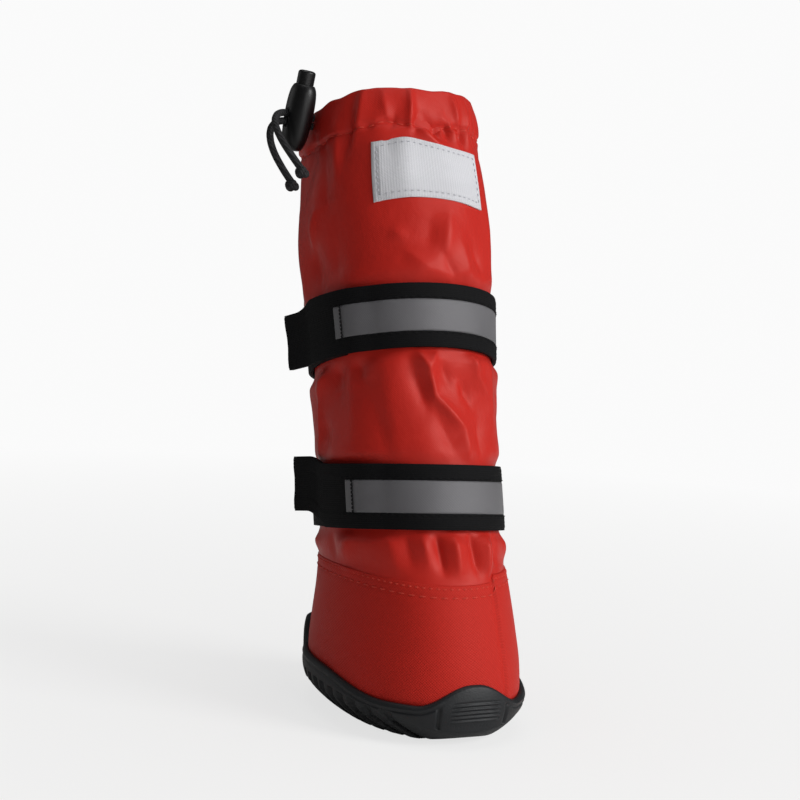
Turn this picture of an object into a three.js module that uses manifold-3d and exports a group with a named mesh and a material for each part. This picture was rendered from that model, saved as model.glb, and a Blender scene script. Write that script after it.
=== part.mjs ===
// Dog bootie: a tall fabric shaft on a moulded rubber cup sole, with two hook and loop straps
// and a drawcord lock. Millimetres, +Z up, toe towards -Y, heel towards +Y, sole flat on z = 0.
import * as THREE from 'three';
import { mergeVertices } from 'three/addons/utils/BufferGeometryUtils.js';
import Module from 'manifold-3d';

const GAP = 0.3;             // clear air between pieces that touch
const WALL = 1.4;            // shaft fabric and lining together
const AROUND = 64;           // facets round the boot

// One row per section of the shaft, from its lower edge inside the sole to the collar.
// toe_y, toe_z and heel_y, heel_z are where the section meets the middle line in front and
// behind, half is half its width, square is how boxy it is (2 is an ellipse).
const SECTIONS = [
  { toe_y: -38.8, toe_z: 6.8, heel_y: 43.6, heel_z: 6.8, half: 29.1, square: 2.25 },
  { toe_y: -39.6, toe_z: 13.0, heel_y: 45.4, heel_z: 12.5, half: 29.8, square: 2.25 },
  { toe_y: -37.8, toe_z: 22.0, heel_y: 46.0, heel_z: 20.0, half: 29.8, square: 2.25 },
  { toe_y: -34.8, toe_z: 32.0, heel_y: 46.2, heel_z: 28.5, half: 29.0, square: 2.2 },
  { toe_y: -30.8, toe_z: 45.0, heel_y: 46.2, heel_z: 40.5, half: 27.7, square: 2.15 },
  { toe_y: -26.4, toe_z: 57.0, heel_y: 47.0, heel_z: 50.0, half: 27.4, square: 2.1 },
  { toe_y: -21.6, toe_z: 72.0, heel_y: 49.0, heel_z: 62.5, half: 27.7, square: 2.1 },
  { toe_y: -16.4, toe_z: 90.0, heel_y: 50.8, heel_z: 77.5, half: 27.8, square: 2.05 },
  { toe_y: -11.8, toe_z: 106.0, heel_y: 53.0, heel_z: 92.0, half: 28.0, square: 2.05 },
  { toe_y: -7.6, toe_z: 122.0, heel_y: 56.2, heel_z: 107.5, half: 28.7, square: 2.05 },
  { toe_y: -3.8, toe_z: 137.0, heel_y: 59.8, heel_z: 122.0, half: 29.6, square: 2.05 },
  { toe_y: 1.2, toe_z: 155.0, heel_y: 64.4, heel_z: 140.5, half: 31.1, square: 2.05 },
  { toe_y: 6.8, toe_z: 173.0, heel_y: 68.8, heel_z: 158.5, half: 31.2, square: 2.1 },
  { toe_y: 12.6, toe_z: 187.5, heel_y: 71.6, heel_z: 173.5, half: 29.0, square: 2.15 },
  { toe_y: 14.4, toe_z: 191.8, heel_y: 72.4, heel_z: 178.6, half: 28.4, square: 2.2 },
  { toe_y: 18.8, toe_z: 203.0, heel_y: 73.8, heel_z: 190.5, half: 27.0, square: 2.2 },
];
const LAST_ROW = SECTIONS.length - 1;

// sole
const CUP = 2.3;             // rubber wall round the foot
const FLOOR = 6.5;           // top of the sole's floor above the ground
const RIM = 12.6;            // rim of the cup beside the toe
const RIM_CLIMB = { rise: 4.2, from_deg: 48, to_deg: 96 };   // it climbs along the sides
const TOE_BUMP = { rise: 6.7, middle_deg: 1, half_deg: 16, soft_deg: 30 };
const HEEL_CAP = { rise: 8.4, half_deg: 44, soft_deg: 16, thick: 1.6 };
// the tread's shoulder: how wide and tall the slope from tread to wall is, and less at the toe
const SHOULDER = { wide: 10, tall: 8.5, toe_wide: 3, toe_tall: 2.5, toe_half_deg: 24, toe_soft_deg: 50,
  crown: 0.56 };
const TOE_SPRING = { from_y: -24, rise: 3.6, run: 18 };
const HEEL_BEVEL = { from_y: 33, rise: 3.4, run: 13 };
const LUGS = { first_y: -33, pitch: 5.6, count: 12, groove: 2.3, deep: 1.9, spine: 7, slant_deg: 14, climb: 7 };
const INSOLE_THICK = 2.0;

// straps: the webbing, the height of the middle line in front and behind, how far it drops on
// the +X side and rises on the other, and how far the narrower tail stands above the middle line
const WEB = { wide: 20, thick: 1.5 };
const STRAPS = [
  { name: 'upper', toe_z: 130.8, heel_z: 111.0, side_drop: 1.2, tail_shift: -1.2 },
  { name: 'lower', toe_z: 74.8, heel_z: 63.8, side_drop: 0.9, tail_shift: 3.6 },
];
const STRAP_START = 179;     // degrees round from the toe, at the heel, where the strap is sewn on
const LOOP_FROM = -64;       // the soft loop strap reaches round from the heel to here
const TAIL = { lift_from: -42, lie_from: -60, free_from: -92, end: -108, stand_off: 5.0, shift_from: -86,
  shift_to: -101, narrower: 0.12 };

// cord lock and drawcord
const LOCK = { turn: -88, row: 14.46, stand_off: 1.4, lean_deg: 20, wide: 11.6, thick: 9.2, tall: 22.0,
  bore: 6.4, bore_deep: 19.0 };
const BUTTON = { across: 5.8, tall: 20.0, proud: 4.8 };
const CORD = { across: 2.4, spacing: 2.7, hole_wide: 3.0, hole_tall: 5.7, hole_down: 11.5, travel: 2.5 };

const RUBBER = { color: 0x222426, roughness: 0.55, metalness: 0 };
const CLOTH = { color: 0xac211c, roughness: 0.5, metalness: 0 };
const WEBBING = { color: 0x101113, roughness: 0.85, metalness: 0 };
const FOAM = { color: 0x2a2b2d, roughness: 0.9, metalness: 0 };
const PLASTIC = { color: 0x0d0d0f, roughness: 0.35, metalness: 0 };

const wasm = await Module();
wasm.setup();
const rad = (deg) => (deg * Math.PI) / 180;
const wrap = (deg) => ((((deg + 180) % 360) + 360) % 360) - 180;
const smooth = (t) => { const c = Math.min(1, Math.max(0, t)); return c * c * (3 - 2 * c); };
const signedPower = (value, power) => Math.sign(value) * Math.abs(value) ** power;

// a column of the section table at any height, as one smooth curve through the rows
function column(name, row) {
  const at = Math.min(LAST_ROW, Math.max(0, row));
  const lower = Math.min(LAST_ROW - 1, Math.floor(at));
  const pick = (i) => SECTIONS[Math.min(LAST_ROW, Math.max(0, i))][name];
  const t = at - lower;
  const [a, b, c, d] = [pick(lower - 1), pick(lower), pick(lower + 1), pick(lower + 2)];
  return b + 0.5 * t * (c - a + t * (2 * a - 5 * b + 4 * c - d + t * (3 * (b - c) + d - a)));
}

// the shaft's outer surface: turn in degrees from the toe, positive towards +X; out moves the
// point outwards in the plane of its section
function form(turn, row, out = 0) {
  const front = new THREE.Vector3(0, column('toe_y', row), column('toe_z', row));
  const back = new THREE.Vector3(0, column('heel_y', row), column('heel_z', row));
  const reach = front.distanceTo(back) / 2;
  const along = back.clone().sub(front).normalize();
  const half = column('half', row);
  const power = 2 / column('square', row);
  const place = (deg) => new THREE.Vector2(
    half * signedPower(Math.sin(rad(deg)), power),
    -reach * signedPower(Math.cos(rad(deg)), power),
  );
  const here = place(turn);
  const tangent = place(turn + 0.5).sub(place(turn - 0.5)).normalize();
  here.x += out * tangent.y;
  here.y -= out * tangent.x;
  return front.add(back).multiplyScalar(0.5).addScaledVector(along, here.y)
    .add(new THREE.Vector3(here.x, 0, 0));
}

// the row where the shaft's surface reaches a height above the ground
function rowAt(turn, height) {
  let low = 0;
  let high = LAST_ROW;
  for (let i = 0; i < 26; i += 1) {
    const middle = (low + high) / 2;
    if (form(turn, middle).z < height) low = middle; else high = middle;
  }
  return (low + high) / 2;
}

// closed mesh from rings of points; ends are flat fans about a centre, or the rings join up
function skin(rings, { caps = false, loop = false } = {}) {
  const count = rings[0].length;
  const points = rings.flat();
  const faces = [];
  const bands = loop ? rings.length : rings.length - 1;
  for (let i = 0; i < bands; i += 1) {
    const next = (i + 1) % rings.length;
    for (let j = 0; j < count; j += 1) {
      const k = (j + 1) % count;
      const [a, b, c, d] = [i * count + j, i * count + k, next * count + k, next * count + j];
      faces.push(a, b, c, a, c, d);
    }
  }
  if (caps) {
    [[0, 1], [rings.length - 1, -1]].forEach(([i, side]) => {
      const middle = rings[i].reduce((sum, p) => sum.add(p), new THREE.Vector3()).divideScalar(count);
      points.push(middle);
      for (let j = 0; j < count; j += 1) {
        const pair = [i * count + j, i * count + ((j + 1) % count)];
        if (side > 0) pair.reverse();
        faces.push(points.length - 1, pair[0], pair[1]);
      }
    });
  }
  const geometry = new THREE.BufferGeometry();
  geometry.setAttribute('position', new THREE.Float32BufferAttribute(points.flatMap((p) => p.toArray()), 3));
  geometry.setIndex(faces);
  geometry.computeVertexNormals();
  return geometry;
}

const ringOf = (make) => Array.from({ length: AROUND }, (_, i) => make((360 * i) / AROUND));

function toManifold(geometry) {
  const bare = geometry.clone();
  bare.deleteAttribute('normal');
  bare.deleteAttribute('uv');
  const merged = mergeVertices(bare, 1e-4);
  return new wasm.Manifold(new wasm.Mesh({
    numProp: 3,
    vertProperties: new Float32Array(merged.attributes.position.array),
    triVerts: new Uint32Array(merged.index.array),
  }));
}

function fromManifold(solid) {
  const mesh = solid.getMesh();
  const geometry = new THREE.BufferGeometry();
  geometry.setAttribute('position', new THREE.BufferAttribute(mesh.vertProperties, 3));
  geometry.setIndex(new THREE.BufferAttribute(mesh.triVerts, 1));
  geometry.computeVertexNormals();
  return geometry;
}

const boot = new THREE.Group();
boot.name = 'dog_bootie';
function add(name, geometry, look) {
  const mesh = new THREE.Mesh(geometry, new THREE.MeshStandardMaterial(look));
  mesh.name = name;
  boot.add(mesh);
  return mesh;
}

// Upper: shaft, foot panel, lining and hem as one hollow tube, open at the collar and underneath.
{
  const rows = SECTIONS.map((_, i) => i);
  const outside = rows.map((row) => ringOf((turn) => form(turn, row)));
  const inside = rows.slice().reverse().map((row) => ringOf((turn) => form(turn, row, -WALL)));
  add('upper', skin([...outside, ...inside], { loop: true }), CLOTH);
}

// Outsole: one moulded cup with a low bump at the toe, a tall cap at the heel and lugs below.
const soleUnder = (y) => {
  const toe = Math.max(0, TOE_SPRING.from_y - y) / TOE_SPRING.run;
  const heel = Math.max(0, y - HEEL_BEVEL.from_y) / HEEL_BEVEL.run;
  return TOE_SPRING.rise * toe * toe + HEEL_BEVEL.rise * heel * heel;
};
const near = (turn, middle, half, soft) => 1 - smooth((Math.abs(wrap(turn - middle)) - half) / soft + 0.5);
const nearHeel = (turn) => near(turn, 180, HEEL_CAP.half_deg, HEEL_CAP.soft_deg);
const rimHeight = (turn) => RIM + HEEL_CAP.rise * nearHeel(turn)
  + TOE_BUMP.rise * near(turn, TOE_BUMP.middle_deg, TOE_BUMP.half_deg, TOE_BUMP.soft_deg)
  + RIM_CLIMB.rise * smooth((Math.abs(wrap(turn)) - RIM_CLIMB.from_deg) / (RIM_CLIMB.to_deg - RIM_CLIMB.from_deg));
{
  const atHeight = (turn, height, out) => form(turn, rowAt(turn, height), out);
  const toeward = (turn) => near(turn, 0, SHOULDER.toe_half_deg, SHOULDER.toe_soft_deg);
  const shoulderWide = (turn) => SHOULDER.wide + (SHOULDER.toe_wide - SHOULDER.wide) * toeward(turn);
  const shoulderTall = (turn) => SHOULDER.tall + (SHOULDER.toe_tall - SHOULDER.tall) * toeward(turn);
  const treadEdge = (turn) => {
    const point = form(turn, 0, CUP + GAP - shoulderWide(turn));
    point.z = soleUnder(point.y);
    return point;
  };
  const under = (turn, share) => {
    const point = treadEdge(turn).multiplyScalar(share);
    point.z = soleUnder(point.y);
    return point;
  };
  const shoulder = (turn, across, up) => {
    const point = form(turn, 0, CUP + GAP - shoulderWide(turn) * (1 - across));
    point.z = treadEdge(turn).z + shoulderTall(turn) * up;
    return point;
  };
  const wall = (turn, share, out) => {
    const foot = treadEdge(turn).z + shoulderTall(turn);
    const height = foot + share * (rimHeight(turn) - foot);
    const point = atHeight(turn, Math.max(height, SECTIONS[0].toe_z), out + HEEL_CAP.thick * nearHeel(turn) * share);
    point.z = height;
    return point;
  };
  const floor = (share) => ringOf((turn) => {
    const point = form(turn, 0, GAP);
    point.multiplyScalar(share);
    point.z = FLOOR;
    return point;
  });
  const body = skin([
    ringOf((turn) => under(turn, 0.25)),
    ringOf((turn) => under(turn, 0.55)),
    ringOf((turn) => under(turn, 0.8)),
    ringOf(treadEdge),
    ringOf((turn) => shoulder(turn, SHOULDER.crown, 1 - SHOULDER.crown)),
    ringOf((turn) => shoulder(turn, 1, 1)),
    ringOf((turn) => wall(turn, 0.6, CUP + GAP + 0.4)),
    ringOf((turn) => wall(turn, 0.93, CUP + GAP - 0.1)),
    ringOf((turn) => wall(turn, 1, CUP + GAP - 0.9)),
    ...[1, 0.66, 0.33, 0].map((share) => ringOf((turn) => {
      const lowest = SECTIONS[0].toe_z + 0.1;
      return atHeight(turn, lowest + share * (rimHeight(turn) - 0.3 - lowest), GAP);
    })),
    floor(1),
    floor(0.5),
  ], { caps: true });
  // grooves between the lugs: one box across the flat tread and one up the shoulder's slope
  let sole = toManifold(body);
  const slope = Math.atan2(SHOULDER.tall, SHOULDER.wide);
  const edgePoints = ringOf(treadEdge);
  for (let i = 0; i < LUGS.count; i += 1) {
    const y = LUGS.first_y + LUGS.pitch * i;
    const edgeX = Math.max(...edgePoints.filter((p) => Math.abs(p.y - y) < LUGS.pitch).map((p) => p.x));
    for (const side of [-1, 1]) {
      const flatLong = edgeX - LUGS.spine + 1;
      const flat = new THREE.BoxGeometry(flatLong, LUGS.groove, 2 * LUGS.deep);
      flat.translate((side * flatLong) / 2, 0, 0);
      const rising = new THREE.BoxGeometry(LUGS.climb, LUGS.groove, 2 * LUGS.deep);
      rising.translate((side * LUGS.climb) / 2, 0, 0);
      rising.rotateY(-side * slope);
      rising.translate(side * (edgeX - LUGS.spine), 0, 0);
      for (const groove of [flat, rising]) {
        groove.rotateZ(side * rad(LUGS.slant_deg));
        groove.translate(side * LUGS.spine, y, 0);
        sole = sole.subtract(toManifold(groove));
      }
    }
  }
  add('outsole', fromManifold(sole), RUBBER);
}

// Insole: a thin foam board lying on the sole's floor inside the upper.
{
  const plate = (height, inset) => ringOf((turn) => {
    const point = form(turn, rowAt(turn, height), -WALL - GAP - inset);
    point.z = height;
    return point;
  });
  const low = FLOOR + GAP;
  add('insole', skin([plate(low, 0.6), plate(low + 0.5, 0), plate(low + INSOLE_THICK, 0)], { caps: true }), FOAM);
}

// Straps: flat webbing following the shaft. The long one is sewn on at the heel, runs round
// the +X side and the front and lies on the short loop strap, with its tail standing free.
function webbing(strap, turns, outOf, tailOf) {
  const cross = (turn) => {
    const share = (1 - Math.cos(rad(turn))) / 2;
    const middle = strap.toe_z + (strap.heel_z - strap.toe_z) * share - strap.side_drop * Math.sin(rad(turn))
      + strap.tail_shift * tailOf(turn);
    const lift = outOf(turn);
    const corner = (dz, out) => {
      const point = form(turn, rowAt(turn, middle + dz), out);
      point.z = middle + dz + (form(turn, rowAt(turn, middle), out).z - middle);
      return point;
    };
    const h = (WEB.wide / 2) * (1 - TAIL.narrower * tailOf(turn));
    return [corner(-h, lift), corner(-h, lift + WEB.thick), corner(0, lift + WEB.thick),
      corner(h, lift + WEB.thick), corner(h, lift), corner(0, lift)];
  };
  return skin(turns.map(cross), { caps: true });
}
const spread = (from, to, count) => Array.from({ length: count + 1 }, (_, i) => from + ((to - from) * i) / count);
for (const strap of STRAPS) {
  const over = GAP + WEB.thick + GAP;
  const long = (turn) => GAP + (over - GAP) * smooth((TAIL.lift_from - turn) / (TAIL.lift_from - TAIL.lie_from))
    + TAIL.stand_off * (Math.max(0, TAIL.free_from - turn) / (TAIL.free_from - TAIL.end)) ** 1.6;
  const tail = (turn) => smooth((TAIL.shift_from - turn) / (TAIL.shift_from - TAIL.shift_to));
  add(`strap_${strap.name}`, webbing(strap, spread(STRAP_START, TAIL.end, 50), long, tail), WEBBING);
  add(`strap_${strap.name}_loop`, webbing(strap, spread(LOOP_FROM, -STRAP_START, 22), () => GAP, () => 0), WEBBING);
}

// Cord lock: a hollow plastic body with a spring button in its top, both crossed by one hole.
// It hangs beside the collar on the cord. holeFrame is at the middle of its hole: x towards the
// heel, y away from the shaft, z up along it. lockFrame leans towards the toe about the hole.
const holeFrame = (() => {
  const at = form(LOCK.turn, LOCK.row, LOCK.thick / 2 + LOCK.stand_off);
  const up = form(LOCK.turn, LOCK.row + 0.5, 0).sub(form(LOCK.turn, LOCK.row - 0.5, 0)).normalize();
  const outward = form(LOCK.turn, LOCK.row, 1).sub(form(LOCK.turn, LOCK.row, 0));
  const across = new THREE.Vector3().crossVectors(outward, up).normalize();
  outward.crossVectors(up, across);
  return new THREE.Matrix4().makeBasis(across, outward, up).setPosition(at);
})();
const fullLength = LOCK.tall / 2;
const lockFrame = holeFrame.clone()
  .multiply(new THREE.Matrix4().makeRotationY(-rad(LOCK.lean_deg)))
  .multiply(new THREE.Matrix4().makeTranslation(0, 0, CORD.hole_down - fullLength));
{
  const profile = [
    [0, -1], [0.42, -0.985], [0.66, -0.9], [0.86, -0.66], [0.96, -0.3], [1, 0.1],
    [0.98, 0.5], [0.9, 0.8], [0.74, 0.97], [0.6, 1], [0, 1],
  ].map(([r, z]) => new THREE.Vector2((r * LOCK.wide) / 2, z * fullLength));
  const shell = new THREE.LatheGeometry(profile, 32);
  shell.rotateX(Math.PI / 2);
  shell.scale(1, LOCK.thick / LOCK.wide, 1);
  let body = toManifold(shell);
  const bore = new THREE.CylinderGeometry(LOCK.bore / 2, LOCK.bore / 2, LOCK.bore_deep, 28);
  bore.rotateX(Math.PI / 2);
  bore.translate(0, 0, fullLength - LOCK.bore_deep / 2 + 0.01);
  const hole = new THREE.BoxGeometry(CORD.hole_wide, 3 * LOCK.thick, CORD.hole_tall);
  hole.translate(0, 0, fullLength - CORD.hole_down);
  body = body.subtract(toManifold(bore)).subtract(toManifold(hole));
  const bodyGeometry = fromManifold(body);
  bodyGeometry.applyMatrix4(lockFrame);
  add('cord_lock_body', bodyGeometry, PLASTIC);

  const topOf = fullLength + BUTTON.proud;
  const r = BUTTON.across / 2;
  const pin = new THREE.LatheGeometry([
    [0, -BUTTON.tall], [r, -BUTTON.tall], [r, -1.0], [r * 0.88, -0.35], [r * 0.6, 0], [0, 0],
  ].map(([x, z]) => new THREE.Vector2(x, z + topOf)), 28);
  pin.rotateX(Math.PI / 2);
  const slot = new THREE.BoxGeometry(CORD.hole_wide, 3 * r, CORD.hole_tall + CORD.travel);
  slot.translate(0, 0, fullLength - CORD.hole_down + CORD.travel / 2);
  const buttonGeometry = fromManifold(toManifold(pin).subtract(toManifold(slot)));
  buttonGeometry.applyMatrix4(lockFrame);
  add('cord_lock_button', buttonGeometry, PLASTIC);
}

// Drawcord: two legs leave the hem behind the lock, run straight out through it one above the
// other, bend down, part and hang towards the toe.
const LEGS = [
  { name: 'cord_leg_upper', level: 0.5, side: -1 },
  { name: 'cord_leg_lower', level: -0.5, side: 1 },
];
for (const { name, level, side } of LEGS) {
  const holeX = -Math.sin(rad(LOCK.lean_deg)) * level * CORD.spacing;
  const holeZ = Math.cos(rad(LOCK.lean_deg)) * level * CORD.spacing;
  const face = LOCK.thick / 2;
  const at = (x, y, z) => new THREE.Vector3(holeX + x, y, holeZ + z).applyMatrix4(holeFrame);
  const path = new THREE.CatmullRomCurve3([
    at(0, -face - LOCK.stand_off + GAP + 0.2, 0),
    at(0, -face * 0.75, 0),
    at(0, -face * 0.4, 0),
    at(0, 0, 0),
    at(0, face * 0.5, 0),
    at(0, face, 0),
    at(0.1 * side, face + 0.7, -0.1),
    at(0.4 * side - 0.1, face + 2.5, -0.8),
    at(0.9 * side - 0.4, face + 3.9, -2.3),
    at(1.4 * side - 0.9, face + 4.5, -4.4),
    at(1.9 * side - 1.6, face + 4.4, -6.9),
    at(2.4 * side - 2.5, face + 3.7, -9.7),
    at(2.8 * side - 3.5, face + 2.5, -12.6),
    at(3.1 * side - 4.6, face + 0.9, -15.6),
    at(3.3 * side - 5.7, face - 0.9, -18.6),
    at(3.4 * side - 6.8, face - 2.8, -21.5),
  ], false, 'centripetal');
  const round = new THREE.Shape().absarc(0, 0, CORD.across / 2, 0, 2 * Math.PI, false);
  add(name, new THREE.ExtrudeGeometry(round, { steps: 26, curveSegments: 4, extrudePath: path }), WEBBING);
}

export default boot;
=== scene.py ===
import bmesh
import bpy
import numpy as np
from mathutils import Matrix, Vector


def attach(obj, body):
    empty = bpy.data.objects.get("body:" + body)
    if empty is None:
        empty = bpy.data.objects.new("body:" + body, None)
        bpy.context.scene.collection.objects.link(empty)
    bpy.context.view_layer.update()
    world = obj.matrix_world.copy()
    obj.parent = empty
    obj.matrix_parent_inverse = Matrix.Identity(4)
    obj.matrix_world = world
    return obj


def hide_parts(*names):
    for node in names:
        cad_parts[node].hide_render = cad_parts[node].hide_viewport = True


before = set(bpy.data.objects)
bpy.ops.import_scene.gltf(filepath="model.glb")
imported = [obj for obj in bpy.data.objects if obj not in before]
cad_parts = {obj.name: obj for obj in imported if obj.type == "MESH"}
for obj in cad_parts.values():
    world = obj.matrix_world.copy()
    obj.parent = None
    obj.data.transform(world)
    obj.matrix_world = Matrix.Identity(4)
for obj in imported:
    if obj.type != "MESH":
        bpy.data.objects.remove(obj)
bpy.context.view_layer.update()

# Camera: a long lens a little above the foot, looking at the toe from the tail side of the
# straps. It is rolled so that the leaning shaft stands upright in the picture.
def show(name, data):
    """Puts an object that holds this data into the scene."""
    shown = bpy.data.objects.new(name, data)
    bpy.context.scene.collection.objects.link(shown)
    return shown


LEAN = np.radians(13)
LOOK = Vector((-0.001, 0.0215, 0.1005))
lens = bpy.data.cameras.new("camera")
lens.lens = 88
lens.sensor_width = 36
camera = show("camera", lens)
bpy.context.scene.camera = camera
bpy.context.scene.view_settings.view_transform = "Standard"
swing, drop = np.radians(-25.5), np.radians(-5.6)
away = Vector((np.sin(swing) * np.cos(drop), -np.cos(swing) * np.cos(drop), np.sin(drop)))
lean_back = Matrix.Rotation(-LEAN, 3, "X")
away = lean_back @ away
upright = lean_back @ Vector((0.045, 0, 1))
forward = -away
right = forward.cross(upright).normalized()
top = right.cross(forward)
turned = Matrix((right, top, -forward)).transposed().to_4x4()
camera.matrix_world = Matrix.Translation(LOOK + 0.65 * away) @ turned


# Drawcord: one braided elastic cord in the hem, whose two ends come out through the cord lock,
# one above the other, bend down and hang beside the shaft, each finished with a small knot.

# One row per section of the shaft in millimetres, from its lower edge inside the sole to the
# collar: where it meets the middle line in front and behind, half its width, how boxy it is.
TOE_Y, TOE_Z, HEEL_Y, HEEL_Z, HALF, SQUARE = np.array([
    (-38.8, 6.8, 43.6, 6.8, 29.1, 2.25),
    (-39.6, 13, 45.4, 12.5, 29.8, 2.25),
    (-37.8, 22, 46, 20, 29.8, 2.25),
    (-34.8, 32, 46.2, 28.5, 29, 2.2),
    (-30.8, 45, 46.2, 40.5, 27.7, 2.15),
    (-26.4, 57, 47, 50, 27.4, 2.1),
    (-21.6, 72, 49, 62.5, 27.7, 2.1),
    (-16.4, 90, 50.8, 77.5, 27.8, 2.05),
    (-11.8, 106, 53, 92, 28, 2.05),
    (-7.6, 122, 56.2, 107.5, 28.7, 2.05),
    (-3.8, 137, 59.8, 122, 29.6, 2.05),
    (1.2, 155, 64.4, 140.5, 31.1, 2.05),
    (6.8, 173, 68.8, 158.5, 31.2, 2.1),
    (12.6, 187.5, 71.6, 173.5, 29, 2.15),
    (14.4, 191.8, 72.4, 178.6, 28.4, 2.2),
    (18.8, 203, 73.8, 190.5, 27, 2.2),
]).T
LAST_ROW = len(TOE_Y) - 1
MIDDLE = np.stack([TOE_Y + HEEL_Y, TOE_Z + HEEL_Z]) / 2
UP_THE_SHAFT = 7.0 + np.concatenate([[0], np.cumsum(np.hypot(*np.diff(MIDDLE)))])


def column(values, row):
    """A column of a table at any row: a cubic curve through the rows on both sides."""
    last = len(values) - 1
    row = np.clip(row, 0, last)
    low = np.minimum(last - 1, np.floor(row)).astype(int)
    a, b, c, d = (values[np.clip(low + i, 0, last)] for i in (-1, 0, 1, 2))
    t = row - low
    return b + 0.5 * t * (c - a + t * (2 * a - 5 * b + 4 * c - d + t * (3 * (b - c) + d - a)))


def on_section(turn, row, out=0.0):
    """The shaft's surface in millimetres: a rounded oval in the plane through the section's
    front and back points. turn is in degrees from the toe, positive towards +X, and out moves
    the point outwards in that plane."""
    turn, row = np.broadcast_arrays(np.asarray(turn, float), np.asarray(row, float))
    front_y, front_z, back_y, back_z, half, square = (
        column(values, row) for values in (TOE_Y, TOE_Z, HEEL_Y, HEEL_Z, HALF, SQUARE))
    reach = np.hypot(back_y - front_y, back_z - front_z) / 2

    def oval(degrees):
        """Across and along: half and reach times the sine and cosine, each to 2 over square."""
        s, c = np.sin(np.radians(degrees)), np.cos(np.radians(degrees))
        return (half * np.sign(s) * np.abs(s) ** (2 / square),
                -reach * np.sign(c) * np.abs(c) ** (2 / square))

    x, along = oval(turn)
    ahead, behind = oval(turn + 0.5), oval(turn - 0.5)
    step_x, step_y = ahead[0] - behind[0], ahead[1] - behind[1]
    length = np.hypot(step_x, step_y)
    x = x + out * step_y / length
    along = along - out * step_x / length
    y = (front_y + back_y) / 2 + along * (back_y - front_y) / (2 * reach)
    z = (front_z + back_z) / 2 + along * (back_z - front_z) / (2 * reach)
    return np.stack([x, y, z], -1)


def on_shaft(turn, up, out=0.0):
    """The same surface by distance up the shaft's axis from the ground, in millimetres."""
    return on_section(turn, np.interp(up, UP_THE_SHAFT, np.arange(LAST_ROW + 1)), out)


def row_at_height(turn, height):
    """The row where the surface at this turn is at a height above the ground: halving."""
    low = np.zeros(np.broadcast(turn, height).shape)
    high = low + LAST_ROW
    for _ in range(24):
        middle = (low + high) / 2
        below = on_section(turn, middle)[..., 2] < height
        low, high = np.where(below, middle, low), np.where(below, high, middle)
    return (low + high) / 2


def at_height(turn, height, out=0.0):
    """The surface's points at a height above the ground, moved outwards by out."""
    return on_section(turn, row_at_height(turn, height), out)


class Value:
    """One output socket of a shader; sums and products of values add their Math nodes."""

    def __init__(self, finish, socket):
        self.finish = finish
        self.socket = socket

    def math(self, operation, first, second=None):
        """A Math node with one input or two."""
        sockets = {0: first} if second is None else {0: first, 1: second}
        return self.finish.node("ShaderNodeMath", {"operation": operation}, sockets)

    def __add__(self, other):
        return self.math("ADD", self, other)

    def __sub__(self, other):
        return self.math("SUBTRACT", self, other)

    def __mul__(self, other):
        return self.math("MULTIPLY", self, other)

    def __truediv__(self, other):
        return self.math("DIVIDE", self, other)

    def __rsub__(self, other):
        return self.math("SUBTRACT", other, self)

    def __pow__(self, other):
        return self.math("POWER", self, other)

    def __abs__(self):
        return self.math("ABSOLUTE", self)

    def sine(self):
        """The sine of this many radians."""
        return self.math("SINE", self)

    def clamped(self):
        """Held between 0 and 1."""
        return self.math("MAXIMUM", self.math("MINIMUM", self, 1.0), 0.0)

    __radd__ = __add__
    __rmul__ = __mul__


class Finish:
    """A material made of nodes, with one method that adds any node."""

    def __init__(self, name, **constants):
        self.material = bpy.data.materials.new(name)
        self.material.use_nodes = True
        self.tree = self.material.node_tree
        self.shader = self.tree.nodes["Principled BSDF"]
        for socket, value in constants.items():
            self.shader.inputs[socket.replace("_", " ")].default_value = value

    def node(self, kind, settings=None, sockets=None, output=0):
        """Adds a node: its settings first, then the values or links of its sockets."""
        node = self.tree.nodes.new(kind)
        for name, value in (settings or {}).items():
            setattr(node, name, value)
        for name, value in (sockets or {}).items():
            if isinstance(value, Value):
                self.tree.links.new(value.socket, node.inputs[name])
            else:
                node.inputs[name].default_value = value
        return Value(self, node.outputs[output])

    def place(self):
        """Object coordinates, in metres."""
        return self.node("ShaderNodeTexCoord", output=3)

    def cloth(self):
        """The parts of the piece's own map, in millimetres along and across its cloth."""
        return self.split(self.node("ShaderNodeUVMap", {"uv_map": "cloth"}))

    def split(self, vector):
        """The three parts of a vector."""
        node = self.tree.nodes.new("ShaderNodeSeparateXYZ")
        self.tree.links.new(vector.socket, node.inputs[0])
        return [Value(self, output) for output in node.outputs]

    def noise(self, scale, detail=3.0, roughness=0.5):
        """Soft random patches from 0 to 1, this many to a metre."""
        return self.node("ShaderNodeTexNoise", {}, {
            "Vector": self.place(), "Scale": scale, "Detail": detail, "Roughness": roughness})

    def mix(self, share, dark, light):
        """A colour between two colours."""
        return self.node("ShaderNodeMix", {"data_type": "RGBA"}, {
            0: share, 6: dark, 7: light}, output=2)

    def feed(self, **sockets):
        """Links values to the shader's own sockets by their names."""
        for name, value in sockets.items():
            self.tree.links.new(value.socket, self.shader.inputs[name.replace("_", " ")])

    def paint(self, share, dark, light):
        """The base colour, between two colours."""
        self.feed(Base_Color=self.mix(share, dark, light))

    def bump(self, height, distance, strength=1.0):
        """Turns a height from 0 to 1 into a surface this many metres deep."""
        self.feed(Normal=self.node("ShaderNodeBump", {}, {
            "Height": height, "Distance": distance, "Strength": strength}))


def colour(red, green, blue):
    """A screen colour from 0 to 255 as the light that it stands for."""
    share = np.array([red, green, blue]) / 255
    light = np.where(share < 0.04045, share / 12.92, ((share + 0.055) / 1.055) ** 2.4)
    return (*light.tolist(), 1.0)


def link(name, mesh, finish, body="boot"):
    """Shows a mesh under a name with a finish and its material slot, riding on a body."""
    piece = show(name, mesh)
    mesh.materials.append(finish.material)
    mesh.shade_smooth()
    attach(piece, body)
    return piece


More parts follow.
